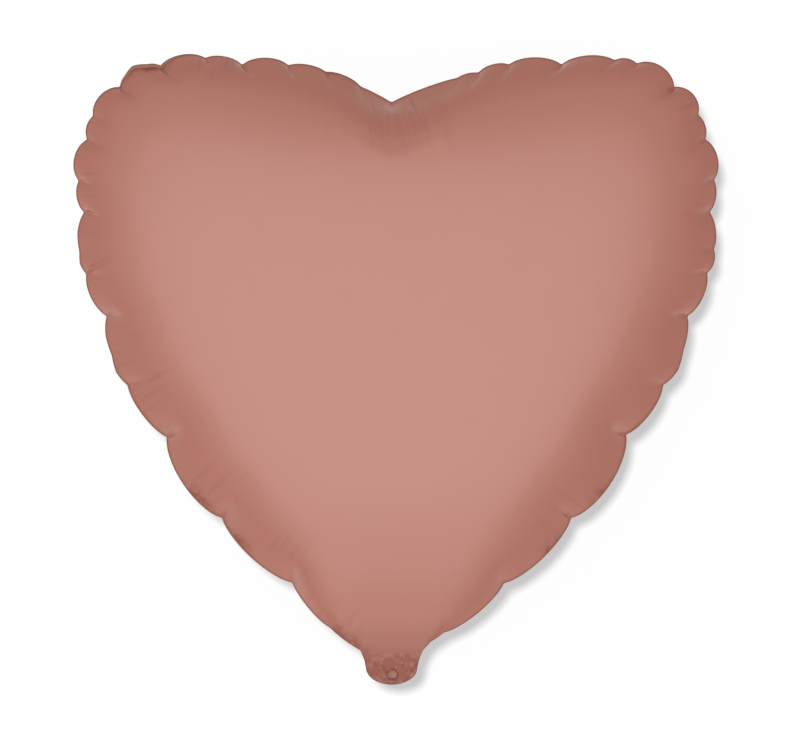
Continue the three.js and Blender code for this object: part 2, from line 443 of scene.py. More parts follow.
    def angles(self) -> np.ndarray:
        """Each station's bearing from the heart's middle, in degrees clockwise from straight up."""
        spokes = self.heart - self.middle
        return np.degrees(np.arctan2(spokes[:, 0], spokes[:, 1])) % 360.0

    def cut_edge(self) -> np.ndarray:
        """The whole closed cut edge of heart and tail, without the fold line."""
        last = self.fold_first + self.fold_stations
        return np.concatenate([self.heart[: self.fold_first], self.tail_edge(), self.heart[last + 1 :]])

    def tail_edge(self, spacing: float = 0.9 * MM) -> np.ndarray:
        """The tail's cut edge from the right end of the fold line round to its left end."""
        length = float(lengths(np.diff(self.tail, axis=0)).sum())
        return resampled(self.tail, int(length / spacing))


# ---- swell of the gas chamber ---------------------------------------------------------------------------


@dataclass
class GasSwell:
    """Height of the gas chamber over the heart, as a share of its greatest height.

    It is the root of a soap film's height under even pressure, which is round in section like the balloon.
    """

    outline: np.ndarray
    middle: np.ndarray
    step: float = 3 * MM
    sweeps: int = 900
    overshoot: float = 1.94
    low: np.ndarray = field(init=False)
    film: np.ndarray = field(init=False)

    def __post_init__(self) -> None:
        """Relax the soap film on a square grid."""
        self.low = self.outline.min(0) - 2 * self.step
        count = np.ceil((self.outline.max(0) + 2 * self.step - self.low) / self.step).astype(int) + 1
        x = self.low[0] + self.step * np.arange(count[0])
        z = self.low[1] + self.step * np.arange(count[1])
        grid = np.stack(np.meshgrid(x, z, indexing="ij"), axis=-1)
        inside = self._inside(grid.reshape(-1, 2)).reshape(count)
        chequer = np.add.outer(np.arange(count[0]), np.arange(count[1])) % 2
        film = np.zeros(count)
        for _ in range(self.sweeps):
            for colour in (0, 1):
                beside = np.zeros(count)
                beside[1:-1, 1:-1] = (
                    film[2:, 1:-1] + film[:-2, 1:-1] + film[1:-1, 2:] + film[1:-1, :-2]
                )
                change = (beside + self.step**2) / 4 - film
                film += np.where(inside & (chequer == colour), self.overshoot * change, 0.0)
        self.film = film
        self.film = film / float(self.film_at(self.middle[None, :])[0])

    def _inside(self, points: np.ndarray) -> np.ndarray:
        """Which points lie inside the outline."""
        corners = self.outline[::6]
        inside = np.zeros(len(points), bool)
        for a, b in zip(corners, np.roll(corners, -1, axis=0)):
            crosses = (a[1] > points[:, 1]) != (b[1] > points[:, 1])
            rise = (b[1] - a[1]) or 1e-12
            at = a[0] + (points[:, 1] - a[1]) * (b[0] - a[0]) / rise
            inside ^= crosses & (points[:, 0] < at)
        return inside

    def film_at(self, points: np.ndarray) -> np.ndarray:
        """The soap film's height at XZ points, from 0 at the rim to 1."""
        place = (points - self.low) / self.step
        whole = np.clip(np.floor(place).astype(int), 0, np.array(self.film.shape) - 2)
        u, v = (place - whole).T
        i, j = whole.T
        near = self.film[i, j] * (1 - u) + self.film[i + 1, j] * u
        far = self.film[i, j + 1] * (1 - u) + self.film[i + 1, j + 1] * u
        return near * (1 - v) + far * v


@dataclass(frozen=True)
class Held:
    """How the swell is held down beside the seam and above the neck, much as it is in the frame.

    Slopes are the steepest that the film may rise. Each hold fades out over its reach, measured in from the
    seam or up from the fold. Above the neck the film starts to rise at `neck_start`, and gets up to its slope
    over about `neck_ease`.
    """

    rim_slope: float = 1.8
    rim_reach: tuple[float, float] = (8 * MM, 45 * MM)
    neck_slope: float = 0.8
    neck_reach: tuple[float, float] = (60 * MM, 140 * MM)
    neck_start: float = 3 * MM
    neck_ease: float = 5 * MM

    @staticmethod
    def lower(a: np.ndarray, b: np.ndarray) -> np.ndarray:
        """A soft minimum of two heights."""
        return a * b / np.maximum((a**4 + b**4) ** 0.25, 1e-9)

    def down(self, full: np.ndarray, inward: np.ndarray, height: np.ndarray) -> np.ndarray:
        """Hold the swell down.

        Args:
            full: Free swell of the gas chamber.
            inward: Distance in from the seam.
            height: Height above the fold.

        Returns:
            The swell that the film has.
        """
        lens = self.lower(full, self.rim_slope * inward)
        lens = lens + (full - lens) * smoothstep(inward, *self.rim_reach)
        above = np.clip(height - self.neck_start, 0.0, None)
        rise = self.neck_slope * (above - self.neck_ease * (1 - np.exp(-above / self.neck_ease)))
        neck = self.lower(lens, rise)
        return neck + (lens - neck) * smoothstep(height, *self.neck_reach)


# ---- creases --------------------------------------------------------------------------------------------


@dataclass(frozen=True)
class Crease:
    """One crease in the film: a line in the XZ plane that is deepest near its start."""

    start: tuple[float, float]
    end: tuple[float, float]
    depth: float
    width: float
    edge: Edge = Edge.VALLEY
    widening: float = 0.3
    fade_in: tuple[float, float] = (-0.25, 0.05)
    fade_power: float = 1.4
    fold_gain: float = 1.4

    def drop(self, points: np.ndarray) -> np.ndarray:
        """How far the crease draws the film in at XZ points."""
        start, end = np.array(self.start), np.array(self.end)
        run = end - start
        length = float(np.linalg.norm(run))
        along = (points - start) @ run / length**2
        across = (points - start) @ np.array([-run[1], run[0]]) / length
        width = self.width * (1.0 + self.widening * np.clip(along, 0.0, 1.0))
        fade = smoothstep(along, *self.fade_in) * np.clip(1.0 - along, 0.0, 1.0) ** self.fade_power
        ridge = np.exp(-0.5 * (across / width) ** 2)
        if self.edge is Edge.FOLD:
            ridge = ridge * across / width * self.fold_gain
        return self.depth * fade * ridge


@dataclass(frozen=True)
class CreaseZone:
    """A stretch of rim where the film is finely creased.

    Bearings are in degrees clockwise from straight up, about the heart's middle, and `slant` turns the
    creases from pointing straight at the middle.
    """

    first: float
    last: float
    count: int
    length: float
    depth: float
    slant: float = 0.0
    inset: float = 5 * MM


@dataclass(frozen=True)
class CreasePatch:
    """A box of film with fine creases that all run one way, fanning out by some degrees."""

    low: tuple[float, float]
    high: tuple[float, float]
    count: int
    length: float
    depth: float
    along: tuple[float, float]
    fan: float = 0.0
    strength: float = 1.5

    def lines(self, draw: np.random.Generator) -> list[Crease]:
        """Scatter the creases.

        Args:
            draw: Source of the scatter.

        Returns:
            The patch's creases.
        """
        low, size = np.array(self.low), np.array(self.high) - np.array(self.low)
        made = []
        for k in range(self.count):
            share = (k + between(draw, 0.2, 0.8)) / self.count
            swing = draw.random()
            wide = size[0] >= size[1]
            middle = low + size * np.array((share, swing) if wide else (swing, share))
            way = turned(np.array(self.along), self.fan * (share - 0.5) + draw.normal(0.0, 3.0))
            half = way / np.linalg.norm(way) * self.length * between(draw, 0.35, 0.70)
            depth = self.strength * self.depth * between(draw, 0.5, 1.4)
            width = between(draw, 0.5, 0.7) * MM
            made.append(Crease(tuple(middle - half), tuple(middle + half), depth, width))
        return made


@dataclass(frozen=True)
class RimDarkPatch:
    """A patch by the rim where the film's colour is painted darker."""

    place: tuple[float, float]
    reach: float
    depth: float
    inwards: float = 4 * MM

    def darkness(self, points: np.ndarray, far_in: np.ndarray) -> np.ndarray:
        """How dark the patch makes the film at XZ points.

        Args:
            points: Places on the film.
            far_in: How far each lies in from the rim.

        Returns:
            Darkness of each from 0.
        """
        near = lengths(points - np.array(self.place)) / self.reach
        return self.depth * np.exp(-0.5 * near**2) * np.exp(-0.5 * (far_in / self.inwards) ** 2)


RIM_DARK_PATCHES = (
    RimDarkPatch((-0.119, 0.099), 8 * MM, 0.8),
    RimDarkPatch((-0.095, 0.069), 7 * MM, 0.7),
    RimDarkPatch((0.131, 0.100), 6 * MM, 0.6),
    RimDarkPatch((0.101, 0.066), 6 * MM, 0.6),
    RimDarkPatch((-0.030, 0.012), 9 * MM, 0.6),
    # These two draw the dark band and dot at the top-left fold: painted shade of the fold.
    RimDarkPatch((-0.152, 0.3665), 8 * MM, 0.9, 3.2 * MM),
    RimDarkPatch((-0.1605, 0.3655), 2 * MM, 1.2, 3.0 * MM),
    RimDarkPatch((-0.040, 0.353), 12 * MM, 0.5, 1.8 * MM),
)

FINE_PATCHES = (
    CreasePatch((-0.014, 0.310), (0.040, 0.330), 18, 30 * MM, 0.30 * MM, (0.22, -1.0), fan=14),
    CreasePatch((0.038, 0.318), (0.090, 0.344), 12, 14 * MM, 0.13 * MM, (0.35, -1.0)),
    CreasePatch((-0.134, 0.346), (-0.098, 0.360), 9, 20 * MM, 0.34 * MM, (-0.2, -1.0)),
    CreasePatch((-0.060, 0.315), (-0.025, 0.335), 6, 20 * MM, 0.18 * MM, (-0.1, -1.0)),
    CreasePatch((-0.152, 0.152), (-0.132, 0.178), 9, 26 * MM, 0.34 * MM, (1.0, 0.5)),
    CreasePatch((-0.192, 0.284), (-0.178, 0.304), 6, 14 * MM, 0.30 * MM, (1.0, 0.05)),
    CreasePatch((-0.164, 0.180), (-0.150, 0.226), 6, 16 * MM, 0.22 * MM, (1.0, 0.3)),
    CreasePatch((-0.110, 0.080), (-0.078, 0.124), 10, 26 * MM, 0.26 * MM, (0.75, 0.65)),
    CreasePatch((-0.082, 0.044), (-0.046, 0.080), 11, 26 * MM, 0.26 * MM, (0.6, 0.8)),
    CreasePatch((-0.044, 0.018), (-0.014, 0.036), 7, 18 * MM, 0.24 * MM, (0.45, 0.9)),
    CreasePatch((0.084, 0.084), (0.116, 0.116), 6, 18 * MM, 0.20 * MM, (-0.75, 0.65)),
    CreasePatch((0.030, 0.346), (0.080, 0.356), 7, 10 * MM, 0.13 * MM, (0.1, -1.0)),
    CreasePatch((0.182, 0.336), (0.192, 0.342), 3, 9 * MM, 0.34 * MM, (1.0, 0.35)),
    CreasePatch((0.184, 0.319), (0.194, 0.324), 2, 9 * MM, 0.30 * MM, (1.0, 0.1)),
    CreasePatch((0.184, 0.270), (0.194, 0.280), 3, 10 * MM, 0.26 * MM, (1.0, 0.1)),
)

FINE_ZONES = (
    CreaseZone(12, 58, 14, 14 * MM, 0.12 * MM, slant=6),
    CreaseZone(58, 140, 26, 14 * MM, 0.13 * MM, slant=3),
    CreaseZone(140, 172, 14, 18 * MM, 0.15 * MM, slant=8),
    CreaseZone(188, 244, 18, 18 * MM, 0.15 * MM, slant=-9),
    CreaseZone(244, 297, 14, 14 * MM, 0.15 * MM, slant=-4),
    CreaseZone(300, 350, 14, 16 * MM, 0.14 * MM, slant=8),
)

SHARP_CREASES = (
    Crease((-0.1893, 0.2366), (-0.1640, 0.2478), 1.50 * MM, 0.6 * MM),
    Crease((-0.1850, 0.2415), (-0.1660, 0.2500), 1.20 * MM, 0.6 * MM),
    Crease((-0.1890, 0.2325), (-0.1760, 0.2385), 0.70 * MM, 0.6 * MM),
    Crease((0.0130, 0.3420), (0.0240, 0.3130), 1.10 * MM, 0.6 * MM),
    Crease((0.1985, 0.3200), (0.1850, 0.3180), 0.90 * MM, 0.6 * MM),
    Crease((0.1930, 0.3350), (0.1860, 0.3310), 0.90 * MM, 0.6 * MM),
    Crease((-0.1620, 0.3640), (-0.1480, 0.3600), 0.60 * MM, 0.9 * MM, Edge.FOLD),
)


@dataclass
class Creases:
    """All the creases of one film."""

    outline: Outline
    face: Face
    lines: list[Crease] = field(default_factory=list)
    pleats: int = 2
    pleat_width: float = 0.9 * MM
    draw: np.random.Generator = field(init=False)

    def __post_init__(self) -> None:
        """Draw the creases: pleats at each pucker, fine ones in zones, and on the front the placed ones."""
        self.draw = np.random.default_rng(11 if self.face is Face.FRONT else 23)
        self._pucker_creases()
        for zone in FINE_ZONES:
            self._zone_creases(zone)
        if self.face is Face.FRONT:
            self.lines.extend(SHARP_CREASES)
            for patch in FINE_PATCHES:
                self.lines.extend(patch.lines(self.draw))

    def _inward(self, rim: np.ndarray) -> np.ndarray:
        """The direction from a point of the rim to the heart's middle."""
        inward = self.outline.middle - rim
        return inward / np.linalg.norm(inward)

    def _edge(self, fold_share: float) -> Edge:
        """Draw how a crease looks across its length, for a given share of folds."""
        return Edge.FOLD if self.draw.random() < fold_share else Edge.VALLEY

    def _pucker_creases(self) -> None:
        """A pleat runs inwards from each pucker, deeper where the rim is drawn in further."""
        calm = self.outline.calm
        for pucker in self.outline.puckers:
            near = calm[int(np.argmin(lengths(calm - pucker)))]
            inward = self._inward(near)
            drawn_in = max(0.0, float((pucker - near) @ inward))
            for _ in range(self.pleats):
                along = turned(inward, self.draw.normal(0.0, 14.0))
                length = between(self.draw, 6, 12) * MM + 1.5 * drawn_in
                depth = between(self.draw, 0.18, 0.38) * MM + 0.03 * drawn_in
                end = pucker + along * length
                edge = self._edge(0.4)
                self.lines.append(Crease(tuple(pucker), tuple(end), depth, self.pleat_width, edge))

    def _zone_creases(self, zone: CreaseZone) -> None:
        """Draw the fine creases of one zone."""
        bearings = self.outline.angles()
        for k in range(zone.count):
            bearing = zone.first + (k + self.draw.random()) * (zone.last - zone.first) / zone.count
            gap = np.abs((bearings - bearing + 180.0) % 360.0 - 180.0)
            rim = self.outline.calm[int(np.argmin(gap))]
            inward = self._inward(rim)
            along = turned(inward, zone.slant + self.draw.normal(0.0, 6.0))
            start = rim + inward * zone.inset * between(self.draw, 0.5, 1.5)
            end = start + along * zone.length * between(self.draw, 0.5, 1.5)
            depth = zone.depth * between(self.draw, 0.4, 1.5)
            edge = self._edge(0.35)
            width = between(self.draw, 0.6, 1.0) * MM
            self.lines.append(Crease(tuple(start), tuple(end), depth, width, edge))

    def drop(self, points: np.ndarray) -> np.ndarray:
        """How far all creases together draw the film in at XZ points."""
        total = np.zeros(len(points))
        for line in self.lines:
            middle = (np.array(line.start) + np.array(line.end)) / 2
            reach = math.dist(line.start, line.end) * 0.8 + 6 * line.width
            near = np.abs(points - middle).max(axis=1) < reach
            total[near] += line.drop(points[near])
        return total


# ---- finishes -------------------------------------------------------------------------------------------


class Tree:
    """A thin wrapper that adds nodes to a shader or geometry tree and joins them."""

    def __init__(self, tree: bpy.types.NodeTree) -> None:
        """Keep the tree, emptied of its default nodes."""
        self.tree = tree
        tree.nodes.clear()

    def add(self, kind: str, feeds: Feeds | None = None, **settings: object) -> bpy.types.Node:
        """Add a node, set its properties and feed its inputs.

        Args:
            kind: The node's Blender type name.
            feeds: A value or another node's output for each input, by the input's name or number.
            **settings: Properties of the node, by name.

        Returns:
            The new node.
        """
        node = self.tree.nodes.new(kind)
        for name, value in settings.items():
            setattr(node, name, value)
        for label, value in (feeds or {}).items():
            if isinstance(value, bpy.types.NodeSocket):
                self.tree.links.new(value, node.inputs[label])
            else:
                node.inputs[label].default_value = value
        return node

    def math(self, operation: str, *values: object, **settings: object) -> bpy.types.NodeSocket:
        """Add a Math node and give its output.

        Args:
            operation: What the node works out.
            *values: Its inputs in order, as numbers or other nodes' outputs.
            **settings: Further properties of the node, by name.

        Returns:
            The node's output.
        """
        return self.add("ShaderNodeMath", dict(enumerate(values)), operation=operation, **settings).outputs[0]

    def mapped(
        self,
        value: bpy.types.NodeSocket,
        ends: tuple[float, float],
        span: tuple[float, float] = (0.0, 1.0),
    ) -> bpy.types.NodeSocket:
        """Add a Map Range node and give its output.

        Args:
            value: What is mapped.
            ends: The numbers that it is mapped to.
            span: The numbers that it is mapped from.

        Returns:
            The node's output.
        """
        feeds = dict(zip(("To Min", "To Max", "From Min", "From Max"), ends + span))
        return self.add("ShaderNodeMapRange", {"Value": value, **feeds}).outputs["Result"]


def group_tree(name: str, inputs: dict[str, tuple[str, object]], output: tuple[str, str]) -> Tree:
    """Make an empty shader group with named sockets.

    Args:
        name: The group's name.
        inputs: Socket type and default value of each input.
        output: Name and socket type of its output.

    Returns:
        The group's tree.
    """
    group = bpy.data.node_groups.new(name, "ShaderNodeTree")
    for label, (kind, value) in inputs.items():
        socket = group.interface.new_socket(label, in_out="INPUT", socket_type=kind)
        socket.default_value = value
    group.interface.new_socket(output[0], in_out="OUTPUT", socket_type=output[1])
    return Tree(group)


def crinkle_group() -> bpy.types.NodeTree:
    """Fine crinkle of handled film, as a height for a Bump node.

    Returns:
        The shader group, with inputs Vector, Scale, Crumple and Grain, and output Height.
    """
    inputs = {
        "Vector": ("NodeSocketVector", (0.0, 0.0, 0.0)),
        "Scale": ("NodeSocketFloat", 60.0),
        "Crumple": ("NodeSocketFloat", 0.5),
        "Grain": ("NodeSocketFloat", 0.1),
    }
    grain_scale = 22.0
    tree = group_tree("film_crinkle", inputs, ("Height", "NodeSocketFloat"))
    entry = tree.add("NodeGroupInput").outputs
    place = {"Vector": entry["Vector"], "Scale": entry["Scale"]}
    soft = tree.add("ShaderNodeTexNoise", {**place, "Detail": 3.0})
    facets = tree.add("ShaderNodeTexVoronoi", {**place, "Smoothness": 0.6}, feature="SMOOTH_F1")
    place["Scale"] = tree.math("MULTIPLY", entry["Scale"], grain_scale)
    grain = tree.add("ShaderNodeTexNoise", place)
    crumple = tree.math("MULTIPLY", facets.outputs["Distance"], entry["Crumple"])
    grained = tree.math("MULTIPLY_ADD", grain.outputs["Fac"], entry["Grain"], crumple)
    tree.add("NodeGroupOutput", {"Height": tree.math("ADD", soft.outputs["Fac"], grained)})
    return tree.tree


def tint_group() -> bpy.types.NodeTree:
    """Film colour that deepens where a mask says and drifts a little from place to place.

    Returns:
        The shader group, with inputs Vector, Colour, Deep, Mask and Drift, and output Colour.
    """
    inputs = {
        "Vector": ("NodeSocketVector", (0.0, 0.0, 0.0)),
        "Colour": ("NodeSocketColor", (0.8, 0.8, 0.8, 1.0)),
        "Deep": ("NodeSocketColor", (0.5, 0.5, 0.5, 1.0)),
        "Mask": ("NodeSocketFloat", 0.0),
        "Drift": ("NodeSocketFloat", 0.05),
    }
    tree = group_tree("film_tint", inputs, ("Colour", "NodeSocketColor"))
    entry = tree.add("NodeGroupInput").outputs
    patches = tree.add("ShaderNodeTexNoise", {"Vector": entry["Vector"], "Scale": 45.0, "Detail": 4.0})
    centred = tree.math("SUBTRACT", patches.outputs["Fac"], 0.5)
    depth = tree.math("MULTIPLY_ADD", centred, entry["Drift"], entry["Mask"], use_clamp=True)
    mix = tree.add(
        "ShaderNodeMix",
        {"Factor": depth, "A": entry["Colour"], "B": entry["Deep"]},
        data_type="RGBA",
    )
    tree.add("NodeGroupOutput", {"Colour": mix.outputs["Result"]})
    return tree.tree


@dataclass(frozen=True)
class FilmFinish:
    """Finish of one kind of film.

    Pairs run from plain film to where the mask is full. The coat is dulled where the film turns away from the
    eye, between the two shares of `dulled_from`.
    """

    name: str
    colour: Colour
    deep: Colour
    metallic: float
    roughness: tuple[float, float]
    drift: float = 0.15
    crinkle_scale: float = 60.0
    crumple: float = 0.3
    grain: float = 0.02
    bump: float = 0.05
    gloss: float = 0.5
    coat: tuple[float, float] = (0.0, 0.0)
    coat_roughness: float = 0.29
    coat_ior: float = 4.0
    dulled_from: tuple[float, float] = (0.25, 0.60)
    dulled_to: float = 0.5
    alpha: float = 1.0

    def material(self, groups: dict[str, bpy.types.NodeTree]) -> bpy.types.Material:
        """Build the material.

        Args:
            groups: The shared shader groups by name.

        Returns:
            The finished material.
        """
        made = bpy.data.materials.new(self.name)
        made.use_nodes = True
        tree = Tree(made.node_tree)
        place = tree.add("ShaderNodeTexCoord").outputs["Object"]
        mask = tree.add("ShaderNodeAttribute", attribute_name=MASK_NAME).outputs["Fac"]
        tint = tree.add(
            "ShaderNodeGroup",
            {"Vector": place, "Mask": mask, "Colour": self.colour, "Deep": self.deep, "Drift": self.drift},
            node_tree=groups["tint"],
        )
        crinkle = tree.add(
            "ShaderNodeGroup",
            {"Vector": place, "Scale": self.crinkle_scale, "Crumple": self.crumple, "Grain": self.grain},
            node_tree=groups["crinkle"],
        )
        bump = tree.add(
            "ShaderNodeBump",
            {"Strength": self.bump, "Distance": 1 * MM, "Height": crinkle.outputs["Height"]},
        )
        facing = tree.add("ShaderNodeLayerWeight").outputs["Facing"]
        dull = tree.mapped(facing, (1.0, self.dulled_to), self.dulled_from)
        shader = tree.add("ShaderNodeBsdfPrincipled", {
            "Base Color": tint.outputs["Colour"],
            "Roughness": tree.mapped(mask, self.roughness),
            "Normal": bump.outputs["Normal"],
            "Metallic": self.metallic,
            "Specular IOR Level": self.gloss,
            "Coat Weight": tree.math("MULTIPLY", tree.mapped(mask, self.coat), dull),
            "Coat IOR": self.coat_ior,
            "Coat Roughness": self.coat_roughness,
            "Alpha": self.alpha,
        })
        tree.add("ShaderNodeOutputMaterial", {"Surface": shader.outputs["BSDF"]})
        return made


SATIN_FOIL = FilmFinish(
    name="satin_rose_foil",
    colour=(0.585, 0.170, 0.100, 1.0),
    # deep is the colour of the painted shade by the rim, over the lower tip and tail, in creases and at the
    # top-left fold, and of darker rim patches.
    deep=(0.36, 0.10, 0.065, 1.0),
    metallic=0.1,
    roughness=(0.3, 0.36),
    gloss=0.1,
    coat=(0.46, 0.12),
)
WELD_FOIL = FilmFinish(
    name="welded_rose_foil",
    colour=(0.40, 0.18, 0.13, 1.0),
    deep=(0.18, 0.095, 0.075, 1.0),
    metallic=0.5,
    roughness=(0.42, 0.5),
    drift=0.8,
    crinkle_scale=220.0,
    bump=0.3,
)
CLEAR_FILM = FilmFinish(
    name="clear_valve_film",
    # Tinted like the foil and made light so that the fill hole, a shaded pit, does not read dark: painted
    # light in the hole. deep is the colour of the release print.
    colour=(0.75, 0.36, 0.27, 1.0),
    deep=(0.60, 0.34, 0.27, 1.0),
    metallic=0.0,
    roughness=(0.4, 0.5),
    gloss=0.2,
    drift=0.1,
    alpha=0.6,
)


# ---- foil films -----------------------------------------------------------------------------------------


@dataclass
class Skin:
    """One surface of a film.

    `edge` and `hole` are the loops of points round the cut edge and the fill hole, `far_in` is how far each
    point lies in from the rim, and `drop` is how far creases draw it in.
    """

    points: np.ndarray
    faces: list[tuple[int, ...]]
    far_in: np.ndarray
    edge: list[int] = field(default_factory=list)
    hole: list[int] = field(default_factory=list)
    drop: np.ndarray | None = None

    def normals(self) -> np.ndarray:
        """Average normal at each point."""
        tris = [f[:3] for f in self.faces] + [(f[0], f[2], f[3]) for f in self.faces if len(f) == 4]
        t = np.array(tris)
        a, b, c = (self.points[t[:, k]] for k in range(3))
        facing = np.cross(b - a, c - a)
        normals = np.zeros_like(self.points)
        for k in range(3):
            np.add.at(normals, t[:, k], facing)
        return normals / np.maximum(lengths(normals), 1e-15)[:, None]


@dataclass(frozen=True)
class WideFlange:
    """A stretch where the welded rim is wider, about a bearing; angles in degrees."""

    bearing: float
    spread: float
    extra: float


WIDE_FLANGES = (
    WideFlange(313.5, 3.0, 2.0 * MM),
    WideFlange(247.0, 6.0, 0.4 * MM),
    WideFlange(215.0, 5.0, 0.4 * MM),
    WideFlange(118.0, 5.0, 0.4 * MM),
)


@dataclass
class FoilFilm:
    """One of the two foil films: a domed heart with its half of the tail.

    `thinning` says up to which turn, in degrees from the rim to the middle, a ring keeps which share of the
    stations. `lobe_reach` and `near_rim` are shares of the way in: lobes fade out by the first, and the soap
    film is taken as straight up to the second.
    """

    face: Face
    outline: Outline
    swell: GasSwell
    thickness: float = 0.2 * MM
    lining: float = 0.9 * MM
    lining_reach: tuple[float, float] = (0.5 * MM, 7 * MM)
    seam_level: float = 0.25 * MM
    stack_level: float = 1.0 * MM
    stack_reach: float = 4.5 * MM
    neck_height: float = 30 * MM
    flange: float = 0.5 * MM
    flange_ease: float = 8.0
    lobe_reach: float = 0.12
    near_rim: float = 0.05
    # How much crease depth deepens the colour: painted shade in the creases.
    crease_shade: float = 0.3
    crease_start: float = 4 * MM
    held: Held = Held()
    outer_rings: int = 54
    inner_rings: int = 14
    tail_rings: int = 14
    thinning: tuple[tuple[float, int], ...] = ((50, 1), (62, 2), (78, 4), (90, 8))

    def __post_init__(self) -> None:
        """Work out what both skins share."""
        low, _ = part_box("front_panel")
        self.height = abs(low.y)
        self.creases = Creases(self.outline, self.face)
        self.rim = self.outline.inset(self._flange_widths())
        self.side_line = self.outline.tail_edge()

    def _flange_widths(self) -> np.ndarray:
        """Visible width of the welded rim at each station; none along the fold line."""
        bearing = self.outline.angles()
        width = np.full(len(bearing), self.flange)
        for wide in WIDE_FLANGES:
            width += wide.extra * np.exp(-0.5 * ((bearing - wide.bearing) / wide.spread) ** 2)
        half = self.outline.fold_stations / 2
        from_middle = np.abs(np.arange(len(bearing)) - self.outline.fold_first - half)
        return width * smoothstep(from_middle - half, 0.0, self.flange_ease)

    def _level(self, points: np.ndarray) -> np.ndarray:
        """Distance of the film from the rim plane where it lies flat, over the valve strips."""
        room = smoothstep(distance_to_line(points, self.side_line), 0.0, self.stack_reach)
        return self.seam_level + (self.stack_level - self.seam_level) * room

    def _ring(self, inward: float, stations: int) -> tuple[np.ndarray, np.ndarray]:
        """Points of one ring of the heart.

        Args:
            inward: 0 at the rim and 1 at the middle.
            stations: How many points the ring has.

        Returns:
            The points, and how far each lies in from the rim in metres.
        """
        every = len(self.rim) // stations
        rim, calm = self.rim[::every], self.outline.calm[::every]
        middle = self.outline.middle
        calmness = smoothstep(np.array(inward), 0.0, self.lobe_reach)
        flat = middle + (1 - inward) * (rim + (calm - rim) * calmness - middle)
        steady = middle + (1 - max(inward, self.near_rim)) * (calm - middle)
        film = self.swell.film_at(steady) * min(1.0, inward / self.near_rim)
        far_in = inward * lengths(calm - middle)
        dome = self.held.down(self.height * np.sqrt(np.clip(film, 0, 1)), far_in, flat[:, 1])
        neck = 1 - smoothstep(flat[:, 1], 0.0, self.neck_height)
        level = self.seam_level + (self._level(flat) - self.seam_level) * neck
        away = self.face.value * (dome + level)
        return np.stack([flat[:, 0], away, flat[:, 1]], axis=1), far_in

    def _heart(self, rings: int) -> Skin:
        """The heart as rings of points that thin out towards its middle."""
        stations = self.outline.stations
        points, faces, far_in = [], [], []
        first, count, total = 0, stations, 0
        for ring in range(rings):
            turn = 90.0 * ring / rings
            share = next(part for limit, part in self.thinning if turn < limit)
            wanted = stations // share
            places, inward = self._ring(1 - math.cos(math.radians(turn)), wanted)
            if ring:
                faces.extend(ring_faces(first, count, total, wanted))
            points.append(places)
            far_in.append(inward)
            first, count = total, wanted
            total += wanted
        middle = self.outline.middle
        points.append(np.array([[middle[0], self.face.value * self.height, middle[1]]]))
        far_in.append(np.array([1.0]))
        faces.extend((first + i, first + (i + 1) % count, total) for i in range(count))
        return Skin(np.concatenate(points), faces, np.concatenate(far_in))

    def _with_tail(self, heart: Skin) -> Skin:
        """Add the tail below the fold line, with the fill hole on the front film.

        Args:
            heart: The heart's skin.

        Returns:
            The skin of heart and tail, with its loops.
        """
        outline = self.outline
        first, last = outline.fold_first, outline.fold_first + outline.fold_stations
        fold = list(range(first, last + 1))
        edge = outline.tail_edge()[1:-1]
        to_hole = outline.hole_middle - edge
        inset = edge + to_hole * (self.flange / lengths(to_hole)[:, None])
        loop = np.concatenate([heart.points[fold][::-1][:, [0, 2]], inset])
        count = len(loop)
        spokes = loop - outline.hole_middle
        hole = outline.hole_middle + spokes / lengths(spokes)[:, None] * outline.hole_radius
        has_hole = self.face is Face.FRONT
        inner = hole if has_hole else outline.hole_middle + (hole - outline.hole_middle) * 0.15
        rows, faces = [inset], []
        start = len(heart.points)
        cut = list(range(start, start + len(inset)))
        previous, start = fold[::-1] + cut, start + len(inset)
        for ring in range(1, self.tail_rings + 1):
            rows.append(loop + (inner - loop) * (ring / self.tail_rings))
            current = list(range(start, start + count))
            faces.extend(band_faces(previous, current))
            previous, start = current, start + count
        if not has_hole:
            rows.append(outline.hole_middle[None, :])
            faces.extend((previous[i], previous[(i + 1) % count], start) for i in range(count))
        flat = np.concatenate(rows)
        added = np.stack([flat[:, 0], self.face.value * self._level(flat), flat[:, 1]], axis=1)
        return Skin(
            np.concatenate([heart.points, added]),
            heart.faces + faces,
            np.concatenate([heart.far_in, np.zeros(len(added))]),
            edge=list(range(first + 1)) + cut + list(range(last, outline.stations)),
            hole=previous[::-1] if has_hole else [],
        )

    def _creased(self, skin: Skin) -> None:
        """Press the creases and the tail's crumples into a skin."""
        normals = skin.normals()
        if normals[-1][1] * self.face.value < 0:
            normals = -normals
        flat = skin.points[:, [0, 2]]
        drop = self.creases.drop(flat) * smoothstep(skin.far_in, 0.0, self.crease_start)
        skin.drop = np.clip(drop, 0, None)
        skin.points = skin.points - normals * drop[:, None]
        skin.points[:, 1] += tail_crumple(flat)

    def build(self) -> bpy.types.Object:
        """Make the film as one closed sheet with real thickness.

        Returns:
            The film's object.
        """
        outer, inner = (self._with_tail(self._heart(rings)) for rings in (self.outer_rings, self.inner_rings))
        self._creased(outer)
        self._creased(inner)
        normals = inner.normals()
        facing = np.sign(normals[:, 1] * self.face.value)
        room = self.thickness + self.lining * smoothstep(inner.far_in, *self.lining_reach)
        inner.points = inner.points - normals * (facing * room)[:, None]
        shift = len(outer.points)
        faces = outer.faces + [tuple(i + shift for i in reversed(f)) for f in inner.faces]
        for a, b in ((outer.edge, inner.edge), (outer.hole, inner.hole)):
            faces.extend(band_faces(a, [i + shift for i in b], turned_over=True))
        if self.face is Face.REAR:
            faces = [tuple(reversed(f)) for f in faces]
        points = np.concatenate([outer.points, inner.points])
        made = mesh_object(f"{self.face.name.lower()}_foil", points, faces)
        store_attribute(made, MASK_NAME, self._tone(points, outer, inner))
        return made

